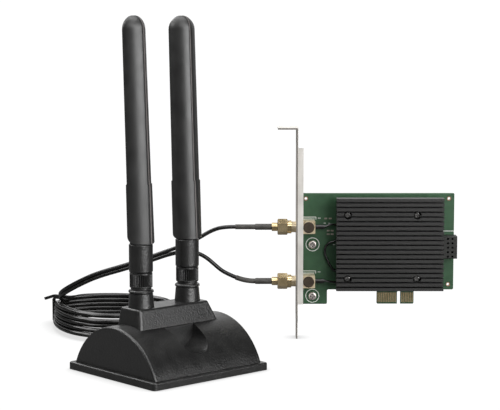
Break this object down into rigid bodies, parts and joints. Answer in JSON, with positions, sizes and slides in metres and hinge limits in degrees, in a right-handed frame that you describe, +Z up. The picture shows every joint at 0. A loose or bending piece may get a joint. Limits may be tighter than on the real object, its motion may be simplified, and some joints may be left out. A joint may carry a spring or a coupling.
{
  "type": "wireless adapter card with antenna stand",
  "caption": "Wireless expansion card with slot bracket and finned heatsink, joined by coiled coax leads to a weighted stand that holds folding stick antennas.",
  "frame": {"origin": "centre of the stand's foot, on the surface that it stands on", "axes": "+X along the card away from its bracket, +Y to the card's solder side, +Z up"},
  "size_m": [0.2442, 0.2045, 0.182],
  "materials": {
    "black_plastic": "satin moulded black plastic",
    "foot_rubber": "soft black rubber",
    "steel": "nickel-plated steel",
    "gold_brass": "gold-plated brass",
    "bracket_steel": "plain plated sheet steel",
    "board_green": "dull green solder mask",
    "heatsink_black": "black anodised",
    "cap_bronze": "dark brown",
    "socket_black": "black moulded plastic",
    "cable_jacket": "black cable jacket",
    "boot_sleeve": "dark grey heat-shrink sleeve",
    "pad_grey": "soft grey heat pad",
    "chip_ceramic": "ceramic chip with tinned ends"
  },
  "bodies": {
    "card_and_stand": {"ballast_plate": "steel", "board": "board_green", "bracket": "bracket_steel", "bracket_screws": "steel", "cable_coil": "cable_jacket", "cable_grommet": "foot_rubber", "chip_parts": "chip_ceramic", "coil_tie": "cable_jacket", "corner_lands": "gold_brass", "dock_block": "black_plastic", "dock_screw": "steel", "edge_contacts": "gold_brass", "foot_pad": "foot_rubber", "foot_screws": "steel", "heat_pad": "pad_grey", "heatsink": "heatsink_black", "heatsink_screws": "heatsink_black", "heatsink_standoffs": "gold_brass", "left_dock_jack": "gold_brass", "lower_boot": "boot_sleeve", "lower_jack": "gold_brass", "lower_jack_cap": "cap_bronze", "lower_lead": "cable_jacket", "lower_pigtail": "cable_jacket", "lower_plug_body": "gold_brass", "module_board": "board_green", "module_post": "gold_brass", "module_screw": "steel", "module_shield": "steel", "module_socket": "socket_black", "pigtail_snaps": "gold_brass", "pin_socket": "socket_black", "right_dock_jack": "gold_brass", "stand_dome": "black_plastic", "stand_foot": "black_plastic", "stand_leads": "cable_jacket", "upper_boot": "boot_sleeve", "upper_jack": "gold_brass", "upper_jack_cap": "cap_bronze", "upper_lead": "cable_jacket", "upper_pigtail": "cable_jacket", "upper_plug_body": "gold_brass"},
    "left_collar_ring": {"left_collar": "black_plastic", "left_collar_insert": "gold_brass"},
    "left_stem_post": {"left_stem": "black_plastic"},
    "left_blade": {"left_knuckle": "black_plastic", "left_blade_cover": "black_plastic", "left_hinge_pin": "steel", "left_radiator": "gold_brass"},
    "right_collar_ring": {"right_collar": "black_plastic", "right_collar_insert": "gold_brass"},
    "right_stem_post": {"right_stem": "black_plastic"},
    "right_blade": {"right_knuckle": "black_plastic", "right_blade_cover": "black_plastic", "right_hinge_pin": "steel", "right_radiator": "gold_brass"},
    "upper_nut": {"upper_coupling_nut": "gold_brass"},
    "lower_nut": {"lower_coupling_nut": "gold_brass"}
  },
  "joints": [
    {"name": "left_swivel", "type": "hinge", "parent": "card_and_stand", "child": "left_stem_post", "pos_m": [-0.01299, -0.01075, 0.056], "axis": [0, 0, 1], "range_deg": [-193, 167]},
    {"name": "left_tilt", "type": "hinge", "parent": "left_stem_post", "child": "left_blade", "pos_m": [-0.01499, -0.01068, 0.07205], "axis": [-0.0349, -0.9994, 0], "range_deg": [-1.5, 88.5]},
    {"name": "left_collar_turn", "type": "hinge", "parent": "card_and_stand", "child": "left_collar_ring", "pos_m": [-0.01299, -0.01075, 0.048], "axis": [0, 0, 1], "continuous": true},
    {"name": "right_swivel", "type": "hinge", "parent": "card_and_stand", "child": "right_stem_post", "pos_m": [0.00968, 0.00965, 0.056], "axis": [0, 0, 1], "range_deg": [-167, 193]},
    {"name": "right_tilt", "type": "hinge", "parent": "right_stem_post", "child": "right_blade", "pos_m": [0.00791, 0.01059, 0.07205], "axis": [-0.4695, -0.8829, 0], "range_deg": [-1.5, 88.5]},
    {"name": "right_collar_turn", "type": "hinge", "parent": "card_and_stand", "child": "right_collar_ring", "pos_m": [0.00968, 0.00965, 0.048], "axis": [0, 0, 1], "continuous": true},
    {"name": "upper_nut_turn", "type": "hinge", "parent": "card_and_stand", "child": "upper_nut", "pos_m": [0.06195, 0.0876, 0.0633], "axis": [1, 0, 0], "continuous": true},
    {"name": "lower_nut_turn", "type": "hinge", "parent": "card_and_stand", "child": "lower_nut", "pos_m": [0.06195, 0.0876, 0.0322], "axis": [1, 0, 0], "continuous": true}
  ]
}
